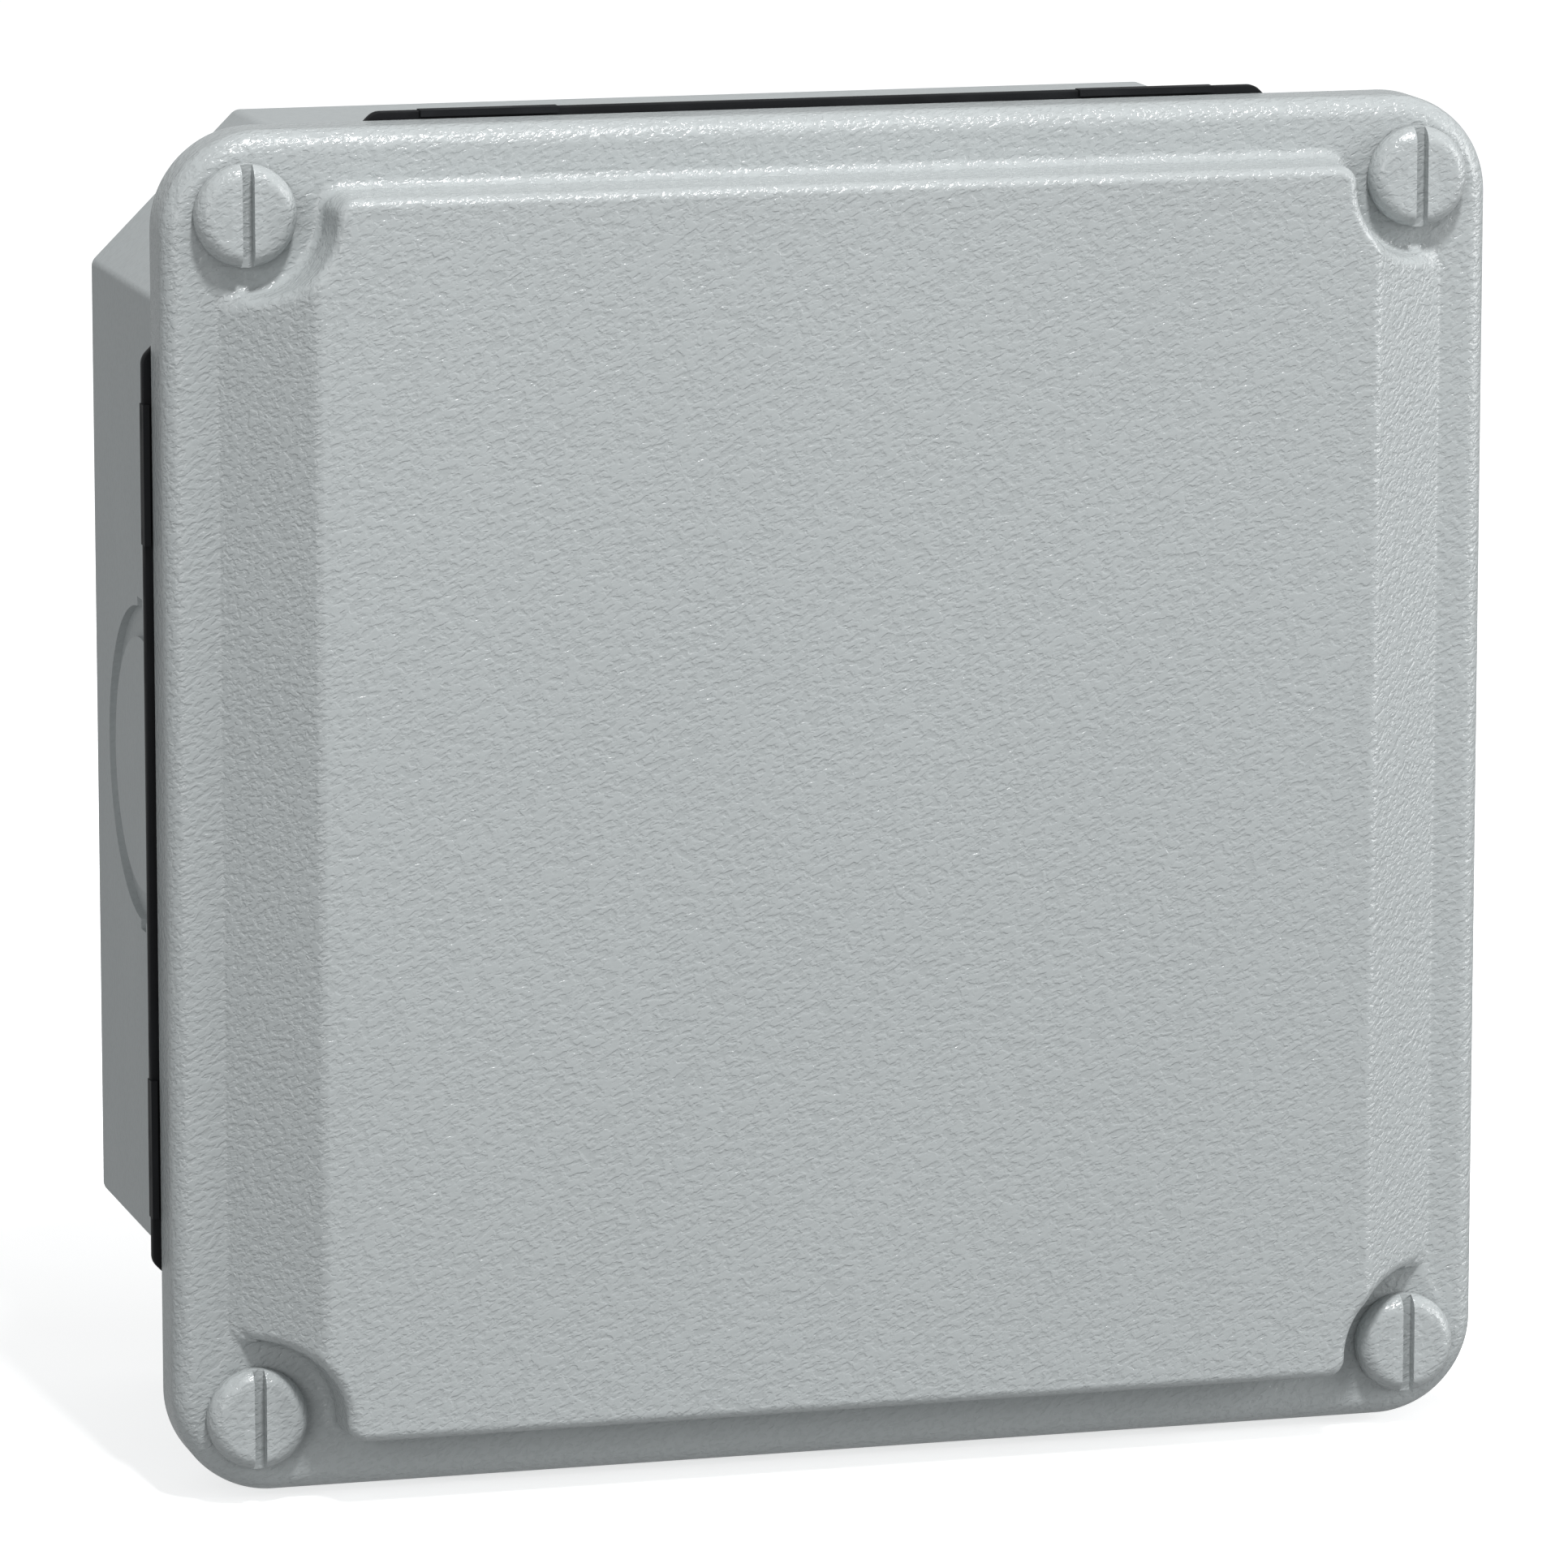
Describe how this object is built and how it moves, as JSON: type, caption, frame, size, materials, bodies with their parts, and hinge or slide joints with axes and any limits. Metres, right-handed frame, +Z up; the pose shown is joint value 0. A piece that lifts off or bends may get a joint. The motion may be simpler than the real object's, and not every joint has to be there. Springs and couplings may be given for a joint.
{
  "type": "electrical junction box",
  "caption": "Square surface-mounted junction box with a raised slotted-screw cover, rubber seal, break-out wall rings and rail-mounted screw terminals.",
  "frame": {"origin": "centre of the tub's flat back face, where it meets the wall", "axes": "+Y into the wall, the cover looks along -Y; +Z up; +X to the viewer's right"},
  "size_m": [0.1722, 0.079, 0.1722],
  "materials": {
    "casing": "fine leather grain, semi-gloss",
    "seal_rubber": "smooth, near black",
    "white_nylon": "natural nylon",
    "brass": "turned",
    "zinc_steel": "zinc plated",
    "terminal_grey": "moulded polyamide",
    "terminal_blue": "moulded polyamide",
    "terminal_green": "moulded polyamide",
    "stop_grey": "moulded polyamide"
  },
  "bodies": {
    "tub_body": {"tub": "casing", "threaded_insert_upper_left": "brass", "threaded_insert_upper_right": "brass", "threaded_insert_lower_left": "brass", "threaded_insert_lower_right": "brass", "mounting_rail": "zinc_steel", "rail_screw_left": "zinc_steel", "rail_screw_right": "zinc_steel", "terminal_line_1_housing": "terminal_grey", "terminal_line_1_bar": "brass", "terminal_line_2_housing": "terminal_grey", "terminal_line_2_bar": "brass", "terminal_neutral_housing": "terminal_blue", "terminal_neutral_bar": "brass", "terminal_earth_housing": "terminal_green", "terminal_earth_bar": "brass", "terminal_end_plate": "stop_grey", "end_stop_left": "stop_grey", "end_stop_right": "stop_grey"},
    "cover_body": {"cover": "casing", "cover_seal": "seal_rubber"},
    "retainer_upper_left": {"screw_retainer_upper_left": "white_nylon"},
    "cover_screw_upper_left": {"cover_screw_upper_left": "casing"},
    "retainer_upper_right": {"screw_retainer_upper_right": "white_nylon"},
    "cover_screw_upper_right": {"cover_screw_upper_right": "casing"},
    "retainer_lower_left": {"screw_retainer_lower_left": "white_nylon"},
    "cover_screw_lower_left": {"cover_screw_lower_left": "casing"},
    "retainer_lower_right": {"screw_retainer_lower_right": "white_nylon"},
    "cover_screw_lower_right": {"cover_screw_lower_right": "casing"},
    "clamp_screw_line_1_upper": {"terminal_line_1_screw_upper": "zinc_steel"},
    "clamp_screw_line_1_lower": {"terminal_line_1_screw_lower": "zinc_steel"},
    "clamp_screw_line_2_upper": {"terminal_line_2_screw_upper": "zinc_steel"},
    "clamp_screw_line_2_lower": {"terminal_line_2_screw_lower": "zinc_steel"},
    "clamp_screw_neutral_upper": {"terminal_neutral_screw_upper": "zinc_steel"},
    "clamp_screw_neutral_lower": {"terminal_neutral_screw_lower": "zinc_steel"},
    "clamp_screw_earth_upper": {"terminal_earth_screw_upper": "zinc_steel"},
    "clamp_screw_earth_lower": {"terminal_earth_screw_lower": "zinc_steel"},
    "end_stop_screw_left": {"end_stop_screw_left": "zinc_steel"},
    "end_stop_screw_right": {"end_stop_screw_right": "zinc_steel"},
    "fixing_cap_upper_left": {"fixing_cap_upper_left": "casing"},
    "fixing_cap_upper_right": {"fixing_cap_upper_right": "casing"},
    "fixing_cap_lower_left": {"fixing_cap_lower_left": "casing"},
    "fixing_cap_lower_right": {"fixing_cap_lower_right": "casing"}
  },
  "joints": [
    {"name": "cover_lift", "type": "slide", "parent": "tub_body", "child": "cover_body", "axis": [0, -1, 0], "range_m": [0, 0.08]},
    {"name": "retainer_rise_upper_left", "type": "slide", "parent": "cover_body", "child": "retainer_upper_left", "axis": [0, -1, 0], "range_m": [0, 0.0024]},
    {"name": "cover_screw_turn_upper_left", "type": "hinge", "parent": "retainer_upper_left", "child": "cover_screw_upper_left", "pos_m": [-0.075, -0.0708, 0.075], "axis": [0, -1, 0], "range_deg": [0, 1080]},
    {"name": "retainer_rise_upper_right", "type": "slide", "parent": "cover_body", "child": "retainer_upper_right", "axis": [0, -1, 0], "range_m": [0, 0.0024]},
    {"name": "cover_screw_turn_upper_right", "type": "hinge", "parent": "retainer_upper_right", "child": "cover_screw_upper_right", "pos_m": [0.075, -0.0708, 0.075], "axis": [0, -1, 0], "range_deg": [0, 1080]},
    {"name": "retainer_rise_lower_left", "type": "slide", "parent": "cover_body", "child": "retainer_lower_left", "axis": [0, -1, 0], "range_m": [0, 0.0024]},
    {"name": "cover_screw_turn_lower_left", "type": "hinge", "parent": "retainer_lower_left", "child": "cover_screw_lower_left", "pos_m": [-0.075, -0.0708, -0.075], "axis": [0, -1, 0], "range_deg": [0, 1080]},
    {"name": "retainer_rise_lower_right", "type": "slide", "parent": "cover_body", "child": "retainer_lower_right", "axis": [0, -1, 0], "range_m": [0, 0.0024]},
    {"name": "cover_screw_turn_lower_right", "type": "hinge", "parent": "retainer_lower_right", "child": "cover_screw_lower_right", "pos_m": [0.075, -0.0708, -0.075], "axis": [0, -1, 0], "range_deg": [0, 1080]},
    {"name": "clamp_turn_line_1_upper", "type": "hinge", "parent": "tub_body", "child": "clamp_screw_line_1_upper", "pos_m": [-0.0093, -0.0405, 0.0115], "axis": [0, -1, 0], "range_deg": [0, 1440]},
    {"name": "clamp_turn_line_1_lower", "type": "hinge", "parent": "tub_body", "child": "clamp_screw_line_1_lower", "pos_m": [-0.0093, -0.0405, -0.0115], "axis": [0, -1, 0], "range_deg": [0, 1440]},
    {"name": "clamp_turn_line_2_upper", "type": "hinge", "parent": "tub_body", "child": "clamp_screw_line_2_upper", "pos_m": [-0.0028, -0.0405, 0.0115], "axis": [0, -1, 0], "range_deg": [0, 1440]},
    {"name": "clamp_turn_line_2_lower", "type": "hinge", "parent": "tub_body", "child": "clamp_screw_line_2_lower", "pos_m": [-0.0028, -0.0405, -0.0115], "axis": [0, -1, 0], "range_deg": [0, 1440]},
    {"name": "clamp_turn_neutral_upper", "type": "hinge", "parent": "tub_body", "child": "clamp_screw_neutral_upper", "pos_m": [0.0037, -0.0405, 0.0115], "axis": [0, -1, 0], "range_deg": [0, 1440]},
    {"name": "clamp_turn_neutral_lower", "type": "hinge", "parent": "tub_body", "child": "clamp_screw_neutral_lower", "pos_m": [0.0037, -0.0405, -0.0115], "axis": [0, -1, 0], "range_deg": [0, 1440]},
    {"name": "clamp_turn_earth_upper", "type": "hinge", "parent": "tub_body", "child": "clamp_screw_earth_upper", "pos_m": [0.0102, -0.0405, 0.0115], "axis": [0, -1, 0], "range_deg": [0, 1440]},
    {"name": "clamp_turn_earth_lower", "type": "hinge", "parent": "tub_body", "child": "clamp_screw_earth_lower", "pos_m": [0.0102, -0.0405, -0.0115], "axis": [0, -1, 0], "range_deg": [0, 1440]},
    {"name": "end_stop_turn_left", "type": "hinge", "parent": "tub_body", "child": "end_stop_screw_left", "pos_m": [-0.01715, -0.0296, 0], "axis": [0, -1, 0], "range_deg": [0, 1080]},
    {"name": "end_stop_turn_right", "type": "hinge", "parent": "tub_body", "child": "end_stop_screw_right", "pos_m": [0.01895, -0.0296, 0], "axis": [0, -1, 0], "range_deg": [0, 1080]},
    {"name": "cap_pull_upper_left", "type": "slide", "parent": "tub_body", "child": "fixing_cap_upper_left", "axis": [0, -1, 0], "range_m": [0, 0.012]},
    {"name": "cap_pull_upper_right", "type": "slide", "parent": "tub_body", "child": "fixing_cap_upper_right", "axis": [0, -1, 0], "range_m": [0, 0.012]},
    {"name": "cap_pull_lower_left", "type": "slide", "parent": "tub_body", "child": "fixing_cap_lower_left", "axis": [0, -1, 0], "range_m": [0, 0.012]},
    {"name": "cap_pull_lower_right", "type": "slide", "parent": "tub_body", "child": "fixing_cap_lower_right", "axis": [0, -1, 0], "range_m": [0, 0.012]}
  ],
  "couplings": [
    {"joint": "cover_screw_turn_upper_left", "follows": "retainer_rise_upper_left", "rad_per_m": 7853.9},
    {"joint": "cover_screw_turn_upper_right", "follows": "retainer_rise_upper_right", "rad_per_m": 7853.9},
    {"joint": "cover_screw_turn_lower_left", "follows": "retainer_rise_lower_left", "rad_per_m": 7853.9},
    {"joint": "cover_screw_turn_lower_right", "follows": "retainer_rise_lower_right", "rad_per_m": 7853.9}
  ]
}
